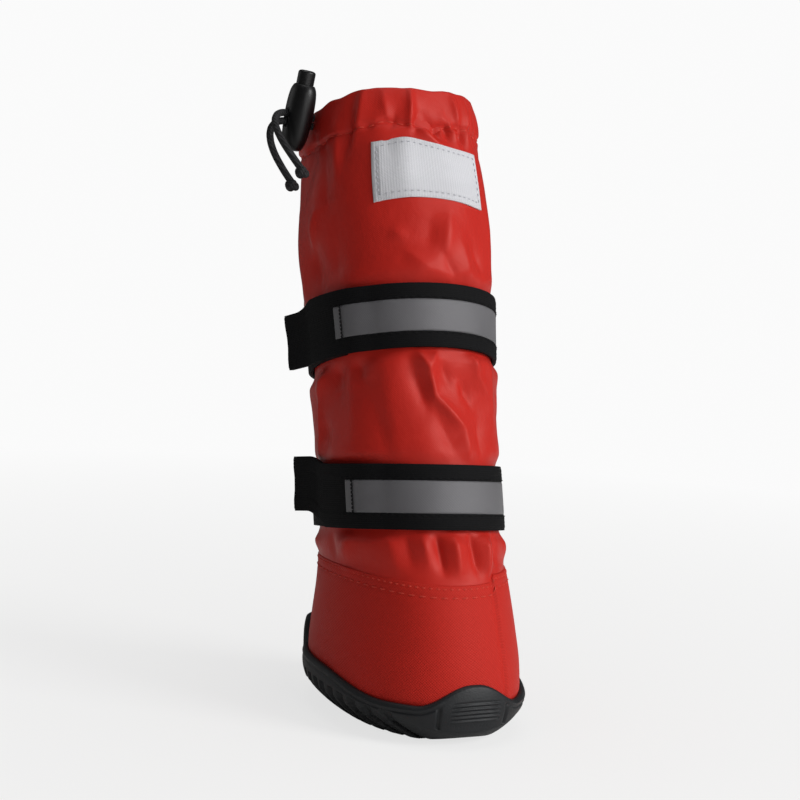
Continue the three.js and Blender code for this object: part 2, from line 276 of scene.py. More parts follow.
def grid_mesh(name, points, cloth=None, close_rows=False, close_columns=True, caps=False):
    """A mesh from a grid of points in millimetres, rows by columns. A closed direction joins
    its last line to its first, and caps close the first and the last row with a fan. cloth is
    each point's place along and up its flat cloth; a joined line may have its own last place."""
    rows, columns = points.shape[:2]
    r = np.arange(rows if close_rows else rows - 1)[:, None]
    c = np.arange(columns if close_columns else columns - 1)[None, :]
    corners = ((r, c), (r, c + 1), (r + 1, c + 1), (r + 1, c))

    def one_each(index):
        """The same index rule for every face, row by row."""
        return np.broadcast_to(index, (r.size, c.size)).ravel()

    faces = np.stack([one_each(i % rows * columns + j % columns) for i, j in corners], -1)
    spots = points.reshape(-1, 3) * 0.001
    fans = np.zeros((0, 3), int)
    if caps:
        ring = np.arange(columns)
        onward = (ring + 1) % columns
        base = (rows - 1) * columns
        first, last = np.full(columns, rows * columns), np.full(columns, rows * columns + 1)
        fans = np.concatenate([np.stack([first, onward, ring], -1),
                               np.stack([last, base + ring, base + onward], -1)])
        spots = np.concatenate([spots, points[[0, -1]].mean(1) * 0.001])
    mesh = bpy.data.meshes.new(name)
    mesh.from_pydata(spots.tolist(), [], faces.tolist() + fans.tolist())
    if cloth is not None:
        cloth = np.stack(np.broadcast_arrays(*cloth), -1)
        tall, wide = cloth.shape[:2]
        at = [one_each(np.minimum(i, tall - 1) * wide + np.minimum(j, wide - 1)) for i, j in corners]
        values = np.zeros((faces.size + fans.size, 2), np.float32)
        values[:faces.size] = cloth.reshape(-1, 2)[np.stack(at, -1).ravel()]
        mesh.uv_layers.new(name="cloth").data.foreach_set("uv", values.ravel())
    mesh.validate()
    return mesh


LOCK_TURN, LOCK_ROW, LOCK_OFF, LOCK_THICK, LOCK_LEAN = -88, 14.46, 1.4, 9.2, np.radians(20)
HOLE_SPACING = 2.7
lock_at = on_section(LOCK_TURN, LOCK_ROW, LOCK_THICK / 2 + LOCK_OFF)
lock_up = on_section(LOCK_TURN, LOCK_ROW + 0.5) - on_section(LOCK_TURN, LOCK_ROW - 0.5)
lock_up = lock_up / np.linalg.norm(lock_up)
lock_out = on_section(LOCK_TURN, LOCK_ROW, 1.0) - on_section(LOCK_TURN, LOCK_ROW)
lock_across = np.cross(lock_out, lock_up)
lock_across = lock_across / np.linalg.norm(lock_across)
lock_out = np.cross(lock_up, lock_across)

braid = Finish("braided_cord", Roughness=0.8)
spot = braid.split(braid.place())
twist = ((spot[0] + spot[1]) * 5200).sine() * ((spot[2] - spot[1]) * 4600).sine()
braid.paint(twist * 0.5 + 0.5, (0.004, 0.004, 0.005, 1), (0.02, 0.02, 0.022, 1))
braid.bump(twist * 0.5 + 0.5, 0.0003)

CORD_ACROSS = 2.4
face = LOCK_THICK / 2
for name, level, side in (("upper", 0.5, -1), ("lower", -0.5, 1)):
    route = np.array([
        (0, -face - LOCK_OFF + 0.5, 0),
        (0, -face * 0.75, 0),
        (0, -face * 0.4, 0),
        (0, 0, 0),
        (0, face * 0.5, 0),
        (0, face, 0),
        (0.1 * side, face + 0.7, -0.1),
        (0.4 * side - 0.1, face + 2.5, -0.8),
        (0.9 * side - 0.4, face + 3.9, -2.3),
        (1.4 * side - 0.9, face + 4.5, -4.4),
        (1.9 * side - 1.6, face + 4.4, -6.9),
        (2.4 * side - 2.5, face + 3.7, -9.7),
        (2.8 * side - 3.5, face + 2.5, -12.6),
        (3.1 * side - 4.6, face + 0.9, -15.6),
        (3.3 * side - 5.7, face - 0.9, -18.6),
        (3.4 * side - 6.8, face - 2.8, -21.5),
    ]) + level * HOLE_SPACING * np.array([-np.sin(LOCK_LEAN), 0, np.cos(LOCK_LEAN)])
    points = (lock_at + route @ np.stack([lock_across, lock_out, lock_up])) * 0.001
    line = bpy.data.curves.new(f"drawcord_{name}", "CURVE")
    line.dimensions = "3D"
    line.bevel_depth = CORD_ACROSS / 2000
    line.bevel_resolution = 4
    line.resolution_u = 6
    line.use_fill_caps = True
    spline = line.splines.new("BEZIER")
    spline.bezier_points.add(len(points) - 1)
    spline.bezier_points.foreach_set("co", points.ravel())
    for knob in spline.bezier_points:
        knob.handle_left_type = knob.handle_right_type = "AUTO"
    cord = show(f"drawcord_{name}", line)
    line.materials.append(braid.material)
    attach(cord, "boot")

    # An overhand knot: the line of a trefoil, pulled small, at the cord's end.
    loop, ring = np.meshgrid(np.linspace(0, 2 * np.pi, 90, endpoint=False),
                             np.linspace(0, 2 * np.pi, 12, endpoint=False), indexing="ij")

    def trefoil(t):
        """The knot's line: a once-turned circle plus a twice-turned one, waving three times."""
        return 1.25 * np.stack([np.sin(t) + 2 * np.sin(2 * t), np.cos(t) - 2 * np.cos(2 * t),
                                -1.15 * np.sin(3 * t)], -1) * (0.42, 0.42, 0.55)

    ahead = trefoil(loop + 0.01) - trefoil(loop - 0.01)
    ahead /= np.linalg.norm(ahead, axis=-1, keepdims=True)
    side_way = np.cross(ahead, (0.02, 0.01, 1.0))
    side_way /= np.linalg.norm(side_way, axis=-1, keepdims=True)
    rise = np.cross(ahead, side_way)
    tube = trefoil(loop) + 0.95 * (np.cos(ring)[..., None] * side_way + np.sin(ring)[..., None] * rise)
    knot_at = points[-1] * 1000 - lock_up * 0.9
    tube = knot_at + tube @ np.stack([lock_across, lock_out, lock_up])
    knot_mesh = grid_mesh(f"drawcord_knot_{name}", tube, close_rows=True)
    knot = link(f"drawcord_knot_{name}", knot_mesh, braid)
    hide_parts(f"cord_leg_{name}")


# Cord lock: a moulded black plastic body, oval in section, with a sprung button in its top. One
# slot crosses both for the cord. The plastic has a fine moulded grain, rubbed a little smoother
# in places by use.
def soft_step(t):
    """0 below 0, 1 above 1, and a smooth curve between."""
    t = np.clip(t, 0, 1)
    return t * t * (3 - 2 * t)


LOCK_WIDE, LOCK_TALL, HOLE_DOWN = 11.6, 22.0, 11.5
BORE, BORE_DEEP = 6.4, 19.0
HOLE_WIDE, HOLE_TALL = 3.0, 5.7
BUTTON_WIDE, BUTTON_TALL, BUTTON_PROUD, TRAVEL = 5.8, 20.0, 4.8, 2.5
lean_up = lock_up * np.cos(LOCK_LEAN) - lock_across * np.sin(LOCK_LEAN)
lean_across = lock_across * np.cos(LOCK_LEAN) + lock_up * np.sin(LOCK_LEAN)
hole_z = LOCK_TALL / 2 - HOLE_DOWN
plastic = Finish("lock_plastic", Specular_IOR_Level=0.4)
grain = plastic.noise(2600, 2)
rub = plastic.noise(300)
plastic.paint(rub, colour(9, 9, 10), colour(17, 17, 19))
plastic.feed(Roughness=rub * 0.2 + 0.28)
plastic.bump(grain, 0.00004)


def lathe(radius, height):
    """Rings of points about the lock's own axis, from a profile of radius and height."""
    swing = np.linspace(0, 2 * np.pi, 128, endpoint=False)[None, :]
    radius, height = radius[:, None], height[:, None]
    return radius * np.cos(swing), radius * np.sin(swing), height + 0 * swing


def sink_slot(x, y, z, lowest, highest, depth):
    """Moves the points inside the cord slot's outline inwards, to depth from the slot's middle."""
    inside = 1 - soft_step((np.abs(x) - HOLE_WIDE / 2) / 0.25)
    inside = inside * soft_step((z - lowest) / 0.25 + 1) * soft_step((highest - z) / 0.25 + 1)
    return y + inside * (np.sign(y) * np.minimum(depth, np.abs(y)) - y)


def lock_piece(name, x, y, z, body):
    """Turns points about the lock's own axis to its leaning place, about the middle of its hole."""
    points = np.stack([x, y, z - hole_z], -1) @ np.stack([lean_across, lock_out, lean_up])
    return link(name, grid_mesh(name, lock_at + points, caps=True), plastic, body)


# The body's profile, from its foot to its mouth, as shares of its half width and half height.
SHELL_WIDE, SHELL_HIGH = np.array([
    (0, -1), (0.42, -0.985), (0.66, -0.9), (0.86, -0.66), (0.96, -0.3),
    (1, 0.1), (0.98, 0.5), (0.9, 0.8), (0.74, 0.97), (0.6, 1),
]).T
along = np.linspace(0.1, len(SHELL_WIDE) - 1, 120)
x, y, z = lathe(column(SHELL_WIDE, along) * LOCK_WIDE / 2, column(SHELL_HIGH, along) * LOCK_TALL / 2)
y = y * LOCK_THICK / LOCK_WIDE
reach = np.hypot(x, y)
widen = np.where(z > 0, np.maximum(1, (BORE / 2 + 0.1) / reach), 1)
x, y = x * widen, y * widen
slot_low, slot_high = hole_z - HOLE_TALL / 2, hole_z + HOLE_TALL / 2
y = sink_slot(x, y, z, slot_low, slot_high, np.sqrt(np.maximum((BORE / 2 + 0.2) ** 2 - x ** 2, 0)))
well = lathe(np.full(12, BORE / 2), np.linspace(LOCK_TALL / 2 - 0.15, LOCK_TALL / 2 - BORE_DEEP, 12))
lock_body = lock_piece("lock_body", *(np.concatenate(pair) for pair in zip((x, y, z), well)), "boot")
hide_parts("cord_lock_body")

round_off = np.linspace(0, 0.96, 14) * np.pi / 2
radius = BUTTON_WIDE / 2 * np.concatenate([np.ones(60), np.cos(round_off) ** 0.45])
top_of = LOCK_TALL / 2 + BUTTON_PROUD
stem = np.linspace(top_of - BUTTON_TALL, top_of - 1.05, 60)
height = np.concatenate([stem, top_of - 1 + np.sin(round_off)])
x, y, z = lathe(radius, height)
y = sink_slot(x, y, z, slot_low, slot_high + TRAVEL, 0.2)
lock_button = lock_piece("lock_push_button", x, y, z, "lock_button")
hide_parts("cord_lock_button")


# Shaft: a tube of red coated nylon with one seam behind, its collar folded in for the cord
# channel and gathered. It hangs in soft creases between the straps that squeeze it.
# Each strap's middle line: its height at the toe and at the heel, how much lower it lies on the
# +X side, and how far its tail strays upwards.
STRAPS = {"upper": (130.8, 111.0, 1.2, -1.2), "lower": (74.8, 63.8, 0.9, 3.6)}
HEM_LINE = 189.8
COLLAR, SHAFT_FOOT = 201.8, 41.5
SIDE_SEAM = 23
MM_PER_DEGREE = 0.545

# Creases: turn and distance up at both ends, half width and height in millimetres;
# a height below 0 is a trough. First the front, from the collar down, and then round the back.
CREASES = (
    (-41, 201, -50, 184, 2.2, 1.1), (-48, 199, -57, 180, 2.8, -1.5), (-76, 190, -70, 167, 4.2, -1.6),
    (-62, 193, -63, 176, 2.8, 0.9), (-86, 193, -92, 172, 3, -1.2), (-9, 201, -11, 189, 1.3, 1.2),
    (-6, 193, -8, 187, 1.3, -1.3), (-10, 190, 8, 182, 1.5, 1.2), (-2, 193, 9, 185, 1.5, -1.1),
    (6, 190, 4, 186, 1, -1), (12, 191, 14, 185, 1.1, -1.2), (10, 193, 20, 186, 1.3, 1),
    (24, 190, 26, 183, 1.3, -1.3), (20, 200, 22, 190, 1.3, 0.9), (32, 199, 30, 186, 1.8, 1),
    (39, 195, 41, 185, 1.5, -1.1), (-28, 199, -25, 190, 1.8, 0.6), (-20, 193, -24, 187, 1.5, -0.7),
    (-81, 166, -88, 154, 1.6, 1.1), (-88, 160, -84, 140, 3.4, -1.3), (-104, 168, -103, 138, 3.4, 1.3),
    (-64, 156, -68, 141, 4, -0.8), (-30, 154, -19, 151, 2.2, 0.6), (-20, 147, -7, 141, 2.2, 0.7),
    (6, 160, 1, 146, 2.6, 1.1), (-4, 158, -8, 148, 3.2, -0.7), (0, 147, 8, 139, 2, -0.9),
    (22, 152, 32, 141, 2.4, -1), (14, 150, 18, 139, 2.6, 0.9), (40, 168, 46, 142, 3.4, 1),
    (-84, 117, -92, 107, 1.5, 1.3), (-92, 107, -98, 86, 1.7, 1.1), (-77, 117, -72, 106, 3, -1.5),
    (-90, 98, -88, 88, 2.6, -0.9), (-60, 116, -54, 108, 2.6, -1), (-66, 114, -62, 86, 4.5, 0.6),
    (-19, 117, -11, 108, 1.7, 1.4), (-11, 108, -9, 101, 1.6, 1.2), (-9, 101, 10, 91, 1.8, 1.5),
    (10, 91, 13, 81, 2.4, 1), (-4, 117, -13, 108, 1.6, 0.9), (-24, 112, -15, 98, 2.6, -1.2),
    (-8, 95, 2, 84, 3, -0.9), (-5, 112, 2, 104, 2.4, -0.9), (18, 116, 22, 108, 1.7, 1.2),
    (22, 108, 32, 102, 1.7, 0.9), (10, 106, 19, 98, 2.2, -1.1), (34, 116, 40, 92, 2.8, 1),
    (-42, 112, -34, 84, 5, 0.6), (-48, 100, -40, 82, 3.4, -0.6), (26, 96, 24, 82, 2.4, -0.8),
    (-23, 64, -20, 53, 1.9, 0.9), (-15, 64, -11, 50, 1.6, -1.5), (-4, 64, -1, 49, 2.2, 1.4),
    (7, 64, 13, 48, 1.7, -1.6), (19, 63, 20, 48, 1.7, 1.3), (30, 62, 31, 49, 1.6, -0.9),
    (-44, 63, -40, 52, 3.2, 0.6), (-34, 62, -31, 52, 2.4, -0.7), (-70, 62, -78, 51, 3.2, 0.8),
    (-90, 62, -86, 51, 2.8, -0.9), (56, 198, 54, 184, 2.2, -1.4), (66, 200, 70, 186, 2.4, 1),
    (76, 198, 80, 180, 2, -1.3), (90, 200, 86, 184, 2.4, 1.1), (100, 196, 108, 182, 2, -1.2),
    (116, 200, 112, 186, 2.2, 0.9), (128, 198, 130, 182, 2.4, -1.4), (140, 200, 146, 186, 2, 1),
    (156, 197, 152, 184, 2.2, -1.2), (-172, 199, -168, 184, 2.2, 1), (-160, 198, -162, 182, 2.4, -1.3),
    (-146, 200, -150, 186, 2.2, 1), (-134, 197, -130, 180, 2.2, -1.4), (-120, 199, -124, 184, 2.4, 1),
    (60, 180, 64, 158, 5, -1.1), (72, 170, 90, 142, 2.6, -1), (96, 178, 112, 150, 3.4, 1),
    (118, 172, 126, 142, 3, -1), (134, 176, 146, 146, 3, 1), (156, 168, 166, 138, 2.8, -0.9),
    (-168, 174, -176, 146, 3.2, 0.9), (-150, 176, -158, 144, 3.2, 1.1), (-136, 170, -130, 140, 3, -1.1),
    (-118, 172, -114, 142, 3, -0.9), (58, 116, 70, 94, 2.4, 1.1), (66, 118, 60, 86, 2.8, -1),
    (80, 116, 98, 88, 2.8, 1.2), (104, 114, 112, 84, 2.6, -1.1), (124, 112, 120, 82, 3.4, 0.9),
    (140, 112, 152, 82, 2.8, 1.1), (160, 108, 156, 78, 2.6, -1), (-174, 108, 178, 78, 3, 0.9),
    (-156, 112, -146, 82, 2.8, 1.1), (-140, 112, -132, 82, 2.8, -1.1), (-118, 114, -124, 84, 3.2, 0.9),
    (-106, 112, -110, 84, 2.4, -0.9), (48, 62, 54, 50, 2.2, 1.1), (66, 62, 62, 49, 2, -1.1),
    (84, 60, 88, 48, 2.6, 0.9), (108, 58, 102, 46, 2.4, -0.9), (130, 56, 134, 45, 2.6, 0.9),
    (158, 54, 154, 44, 2.4, -0.8), (-164, 54, -168, 44, 2.4, 0.8), (-138, 56, -134, 45, 2.4, -0.9),
    (-112, 58, -116, 47, 2.8, 0.9),
)


def nearest_turn(turn, middle):
    """Degrees from middle, the short way round."""
    return (turn - middle + 180) % 360 - 180


def bell(x, middle, wide):
    """A smooth hump: 1 at its middle, falling as the exponential of minus the square of the
    distance over wide."""
    return np.exp(-((x - middle) / wide) ** 2)


def panel_top(turn):
    """Height of the foot panel's top edge: highest at the sides, lowest at the heel, and a step
    up at the lapped seam on the +X side, which dies away towards the heel."""
    lapped = soft_step((turn - SIDE_SEAM + 0.6) / 1.2) * np.exp(-np.maximum(turn - SIDE_SEAM, 0) / 45)
    behind = (1 - np.cos(np.radians(turn))) / 2
    return 48.2 + 1.4 * np.sin(np.radians(turn)) ** 2 - 1.9 * behind ** 2 + 2.2 * lapped


def strap_middle(turn, toe_z, heel_z, side_drop):
    """Height of a strap's middle line: lower behind, and lower on the +X side."""
    share = (1 - np.cos(np.radians(turn))) / 2
    return toe_z + (heel_z - toe_z) * share - side_drop * np.sin(np.radians(turn))


def drape(turn, up):
    """How far the cloth stands out from the plain shaft, in millimetres: slow waves, and each
    crease as a ridge or trough that falls off with the distance from its line, but nothing
    under a strap or the panel's seam."""
    waves = sum(size * np.sin(np.radians(turn * k + phase) + up / reach) for size, k, reach, phase in (
        (0.45, 2, 21.0, 40), (0.36, 3, -17.0, 200), (0.30, 5, 12.0, 75), (0.18, 7, -9.0, 310),
        (0.10, 11, 6.0, 130)))
    folds = np.zeros(np.broadcast(turn, up).shape)
    for turn_a, up_a, turn_b, up_b, wide, high in CREASES:
        from_x = nearest_turn(turn, turn_a) * MM_PER_DEGREE
        from_y = up - up_a
        run_x = nearest_turn(turn_b, turn_a) * MM_PER_DEGREE
        run_y = up_b - up_a
        share = (from_x * run_x + from_y * run_y) / (run_x * run_x + run_y * run_y)
        near_by = np.clip(share, 0, 1)
        aside = np.hypot(from_x - near_by * run_x, from_y - near_by * run_y)
        ends = 0.45 + 0.55 * np.sin(np.pi * near_by)
        folds += high * ends * np.exp(0.45 - np.sqrt((aside / wide) ** 2 + 0.2))
    pleats = 0.22 * np.sin(np.radians(turn * 29 + 50 * np.sin(np.radians(turn * 2))))
    channel = 0.45 * np.sin(np.pi * np.clip((up - HEM_LINE) / (COLLAR - HEM_LINE), 0, 1))
    hem = pleats * bell(up, HEM_LINE, 2.2) + channel - 0.65 * bell(up, HEM_LINE, 0.9)
    free = 1.0
    swell = 0.0
    height = on_shaft(turn, up)[..., 2]
    for toe_z, heel_z, side_drop, _ in STRAPS.values():
        aside = np.abs(height - strap_middle(turn, toe_z, heel_z, side_drop))
        free = free * soft_step((aside - 9.2) / 5.0)
        swell = swell + 0.5 * bell(aside, 15, 4)
    above_seam = soft_step((height - panel_top(turn)) / 6)
    return free * (0.35 + above_seam * (waves + 1.55 * folds + swell)) - 0.3 * (1 - free) + hem


def collar_dip(turn):
    """How much lower the collar's edge lies where the cord pulls it in, and its uneven edge."""
    pull = 4.2 * soft_step(1 - np.abs(nearest_turn(turn, -96)) / 74)
    wave = 0.3 * np.sin(np.radians(3 * turn + 20)) + 0.35 * np.sin(np.radians(7 * turn + 100))
    return pull + wave + 0.3 * np.sin(np.radians(17 * turn))


AROUND = 360
turns = np.linspace(-180, 180, AROUND, endpoint=False)[None, :]
rise = np.linspace(0, 1, 234)[:, None]
edge = COLLAR - collar_dip(turns)
outer_up = SHAFT_FOOT + (edge - SHAFT_FOOT) * rise
outer = on_shaft(turns, outer_up, drape(turns, SHAFT_FOOT + (COLLAR - SHAFT_FOOT) * rise))
rolled = np.array([[0.25], [0.45], [0.25]])
lip = on_shaft(turns, edge + rolled, drape(turns, COLLAR) - [[0.15], [0.6], [1.05]])
down = np.linspace(1, 0, 24)[:, None]
inner_drape = 0.55 * drape(turns, SHAFT_FOOT + (COLLAR - SHAFT_FOOT) * down) - 1.15
inner = on_shaft(turns, SHAFT_FOOT + (edge - 0.6 - SHAFT_FOOT) * down, inner_drape)
shaft_points = np.concatenate([outer, lip, inner], 0)
steps_up = np.concatenate([SHAFT_FOOT + (COLLAR - SHAFT_FOOT) * rise, COLLAR + 0.5 + rolled,
                           COLLAR + 2 + (1 - down) * 160], 0)
columns = np.linspace(0, 360, AROUND + 1)[None, :] * MM_PER_DEGREE
shaft_mesh = grid_mesh("shaft", shaft_points, (columns, steps_up), close_rows=True)

nylon = Finish("red_coated_nylon", Specular_IOR_Level=0.3, Specular_Tint=(1.0, 0.55, 0.5, 1))
u, v, _ = nylon.cloth()
weave = (u * 9.0).sine() * (v * 9.0).sine() * 0.5 + 0.5
blotch = nylon.noise(38, 4)
crinkle = nylon.noise(210, 5, 0.6)
tint = nylon.mix(blotch, colour(190, 37, 29), colour(205, 47, 38))
nylon.paint(weave * 0.25, tint, colour(146, 24, 19))
nylon.feed(Roughness=crinkle * 0.16 + 0.32)
nylon.bump(crinkle * 0.85 + weave * 0.15, 0.0004, 0.7)
shaft = link("shaft", shaft_mesh, nylon)
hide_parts("upper")


# Lining: a thin black knit tube inside the shaft and down into the foot, sewn in under the
# collar's channel. It hangs a little clear of the shaft and shares its larger creases.
lining_turns = np.linspace(-180, 180, 180, endpoint=False)[None, :]
climb = np.linspace(0, 1, 70)[:, None]
lining_up = 8.2 + (COLLAR - 4 - 8.2) * climb
wrinkle = 0.55 * drape(lining_turns, lining_up)
in_leg = soft_step((lining_up - 50) / 10)
hang = wrinkle * in_leg - 0.55 * in_leg
lining_level = lining_up - collar_dip(lining_turns) * climb ** 4
outside = on_shaft(lining_turns, lining_level, hang - 1.35)
inside = on_shaft(lining_turns, lining_level, hang - 1.75)
lining_points = np.concatenate([outside, inside[::-1]], 0)
lining_columns = np.linspace(0, 360, 181)[None, :] * MM_PER_DEGREE
lining_map = (lining_columns, np.concatenate([lining_up, 400 - lining_up]))
knit = Finish("black_knit_lining", Roughness=0.9, Sheen_Weight=0.2)
u, v, _ = knit.cloth()
loops = abs((u * 3.6).sine()) * abs(((v * 3.0) + (u * 3.6).sine() * 0.6).sine())
knit.paint(loops, (0.006, 0.006, 0.007, 1), (0.03, 0.03, 0.032, 1))
knit.bump(loops, 0.0003)
link("lining", grid_mesh("lining", lining_points, lining_map, close_rows=True), knit)


# Foot panel: a band of heavier red basket-weave cloth over the shaft's lower end, its top edge
# folded under and sewn down with two rows of thread. Below it goes down into the sole.
PANEL_FOOT, PANEL_THICK = 7.4, 0.62


def panel_swell(turn, share):
    """The panel's soft unevenness in millimetres, none at its two ends, and the thickness that
    the lapped seam adds."""
    body = np.sin(np.pi * np.clip(share, 0, 1))
    uneven = 0.4 + 0.35 * np.sin(np.radians(2 * turn + 80))
    uneven = uneven + 0.25 * np.sin(np.radians(5 * turn + 30) + 3 * share)
    lapped = 0.45 * soft_step(turn - SIDE_SEAM + 0.5) * np.exp(-np.maximum(turn - SIDE_SEAM, 0) / 30)
    valley = -0.3 * bell(turn, SIDE_SEAM - 1.6, 1.2)
    return body ** 0.5 * uneven + (lapped + valley) * soft_step(share / 0.12)


share = np.concatenate([np.linspace(0, 0.93, 60), np.linspace(0.94, 1, 10)])[:, None]
panel_z = PANEL_FOOT + (panel_top(turns) - PANEL_FOOT) * share
in_cup = 1 - soft_step((panel_z - 10.0) / 4)
below_edge = panel_top(turns) - panel_z
dimple = 0.24 * bell(below_edge, 3.4, 0.7) + 0.10 * bell(below_edge, 0.9, 0.5)
gape = 0.5 * bell(turns, -74, 5) * soft_step((share - 0.93) / 0.07)
proud = PANEL_THICK + panel_swell(turns, share) - dimple + gape
panel_out = in_cup * 0.12 + (1 - in_cup) * proud
panel_outer = at_height(turns, panel_z, panel_out)
panel_lip = at_height(turns, panel_top(turns) + 0.25, 0.35 + gape[-1:])
panel_inner = at_height(turns, panel_z[::-6], -0.30)
panel_points = np.concatenate([panel_outer, panel_lip, panel_inner], 0)
panel_up = np.concatenate([7 + 43 * share, [[51.0]], 52 + 40 * (1 - share[::-6])], 0)
basket = Finish("red_basket_weave", Specular_IOR_Level=0.2, Specular_Tint=(1.0, 0.6, 0.55, 1))
u, v, _ = basket.cloth()
threads = (u * 7.2).sine() * (v * 7.2).sine() * 0.5 + 0.5
twill = ((u + v) * 3.6).sine() * 0.5 + 0.5
uneven = basket.noise(60, 4)
yarn = basket.mix(threads, colour(182, 36, 28), colour(208, 48, 38))
basket.paint(twill * 0.15 + uneven * 0.35, yarn, colour(180, 34, 27))
basket.feed(Roughness=threads * -0.1 + 0.6)
basket.bump(threads * 0.6 + twill * 0.1 + uneven * 0.3, 0.00016)
panel_mesh = grid_mesh("foot_panel", panel_points, (columns, panel_up), close_rows=True)
link("foot_panel", panel_mesh, basket)


# Stitches: red polyester thread along the panel's edge and the collar channel. Each stitch is a
# short bent bead of thread that dips into the cloth at both ends.
def thread_rows(name, place, pitch, long, thick, finish):
    """Joined stitches along a path in millimetres, given as a function of the gap outwards: a
    bead is an oval tube along the path, and its height over the cloth is an arch."""
    path = place(0.0)
    out = place(1.0) - path
    steps = np.linalg.norm(np.diff(path, axis=0), axis=1)
    run = np.concatenate([[0], np.cumsum(steps)])
    count = int(run[-1] / pitch)
    starts = np.arange(count) * run[-1] / count
    along, around = np.meshgrid(np.linspace(-1, 1, 7), np.arange(6) * np.pi / 3, indexing="ij")
    spots = starts[:, None] + (along[:, 0][None, :] + 1) / 2 * long
    centre = np.stack([np.interp(spots, run, path[:, k]) for k in range(3)], -1)
    away = np.stack([np.interp(spots, run, out[:, k]) for k in range(3)], -1)
    away /= np.linalg.norm(away, axis=-1, keepdims=True)
    tangent = np.gradient(centre, axis=1)
    tangent /= np.linalg.norm(tangent, axis=-1, keepdims=True)
    flank = np.cross(tangent, away)
    width = thick / 2 * np.sqrt(np.clip(1.02 - along ** 4, 0, 1))
    arch = thick * (0.55 - 0.75 * along[:, 0] ** 2)
    ring = (centre + away * arch[None, :, None])[:, :, None, :]
    ring = ring + (np.cos(around) * width)[None, ..., None] * flank[:, :, None, :]
    ring = ring + (np.sin(around) * width)[None, ..., None] * away[:, :, None, :]
    r, c = np.meshgrid(np.arange(6), np.arange(6), indexing="ij")
    c2 = (c + 1) % 6
    quads = np.stack([r * 6 + c, (r + 1) * 6 + c, (r + 1) * 6 + c2, r * 6 + c2], -1).reshape(-1, 4)
    ends = np.array([(3, 2, 1, 0), (5, 4, 3, 0), (36, 37, 38, 39), (36, 39, 40, 41)])
    faces = np.concatenate([quads, ends])
    faces = (faces[None] + along.size * np.arange(count)[:, None, None]).reshape(-1, 4)
    mesh = bpy.data.meshes.new(name)
    mesh.from_pydata((ring.reshape(-1, 3) * 0.001).tolist(), [], faces.tolist())
    mesh.update()
    return link(name, mesh, finish)


red_thread = Finish("red_thread", Roughness=0.6, Specular_IOR_Level=0.25)
fuzz = red_thread.noise(1500)
red_thread.paint(fuzz, colour(186, 36, 28), colour(226, 84, 68))
walk = np.linspace(-180, 180, 721)


def panel_line(drop):
    """A line round the foot panel, this far below its top edge, as a function of the gap."""
    height = panel_top(walk) - drop
    body = panel_swell(walk, (height - PANEL_FOOT) / (panel_top(walk) - PANEL_FOOT))
    return lambda gap: at_height(walk, height, PANEL_THICK + body - 0.2 + gap)


def hem_line(gap):
    """The line round the collar where its channel is sewn, at its share of the shaft's height."""
    share = (HEM_LINE - SHAFT_FOOT) / (COLLAR - SHAFT_FOOT)
    up = SHAFT_FOOT + (COLLAR - collar_dip(walk) - SHAFT_FOOT) * share
    return on_shaft(walk, up, drape(walk, HEM_LINE) + 0.02 + gap)


thread_rows("panel_stitches_edge", panel_line(0.9), 2.2, 1.3, 0.42, red_thread)
thread_rows("panel_stitches_second", panel_line(3.4), 3.4, 2.2, 0.42, red_thread)
thread_rows("collar_stitches", hem_line, 3.3, 2.4, 0.42, red_thread)

# Back seam: the shaft's two edges lie sewn together behind, a little beside the middle, from
# the foot panel to the collar, with one row of the same red thread.
seam_up = np.linspace(52, 196, 260)
seam_turn = 171 + 0.8 * np.sin(seam_up / 17)
seam_drape = drape(seam_turn, seam_up) - 0.12
thread_rows("back_seam_stitches", lambda gap: on_shaft(seam_turn, seam_up, seam_drape + gap),
            2.6, 2.0, 0.36, red_thread)


# Label: a bare white woven satin patch sewn on under the collar in front, its edges turned
# under, its top edge pulled into a wave by the gathers.
LABEL_FROM, LABEL_TO, LABEL_LONG, LABEL_TALL = -37.0, 34.0, 41.0, 19.8


def on_label(across, climb, out):
    """A point on the label from its shares across and up, both from 0 to 1: the lower edge is a
    slow wave, the upper one has a hump left of the middle, and the cloth rolls there."""
    turn = LABEL_FROM + (LABEL_TO - LABEL_FROM) * across
    low_edge = 163.2 + 1.2 * np.sin(4.2 * across)
    high_edge = 182.6 - 2.4 * across ** 2 + 1.9 * bell(across, 0.31, 0.2)
    up = low_edge + (high_edge - low_edge) * climb
    cloth = sum(drape(turn + shift, np.minimum(up, 184)) for shift in np.linspace(-4, 4, 5)) / 5
    roll = 0.75 * bell(across, 0.30, 0.09) * (0.35 + 0.65 * climb)
    hollow = -0.45 * bell(across, 0.15, 0.07) * climb
    return on_shaft(turn, up, cloth + roll + hollow + 0.12 * np.sin(9 * across + 4 * climb) + out)


across = np.linspace(0, 1, 150)[None, :]
climb = np.linspace(0, 1, 72)[:, None]
rim = np.minimum(np.minimum(across, 1 - across) * LABEL_LONG, np.minimum(climb, 1 - climb) * LABEL_TALL)
pillow = 0.30 * soft_step(rim / 0.8) + 0.16 * soft_step((rim - 1.3) / 1.5) - 0.14 * bell(rim, 1.9, 0.5)
label_front = on_label(across, climb, 0.4 + pillow)
label_back = on_label(across, climb, -0.1)
label_points = np.concatenate([label_front, label_back[::-1]], 0)
label_map = (LABEL_LONG * across, np.concatenate([LABEL_TALL * climb, 60 - LABEL_TALL * climb]))
satin = Finish("white_woven_satin", Specular_IOR_Level=0.25)
u, v, _ = satin.cloth()
ribs = (v * 16).sine() * 0.5 + 0.5
flecks = (u * 7 + (v * 8).sine()).sine() * 0.5 + 0.5
satin.paint(ribs * 0.4 + flecks * 0.3, colour(234, 234, 238), colour(200, 201, 207))
satin.feed(Roughness=ribs * 0.15 + 0.38)
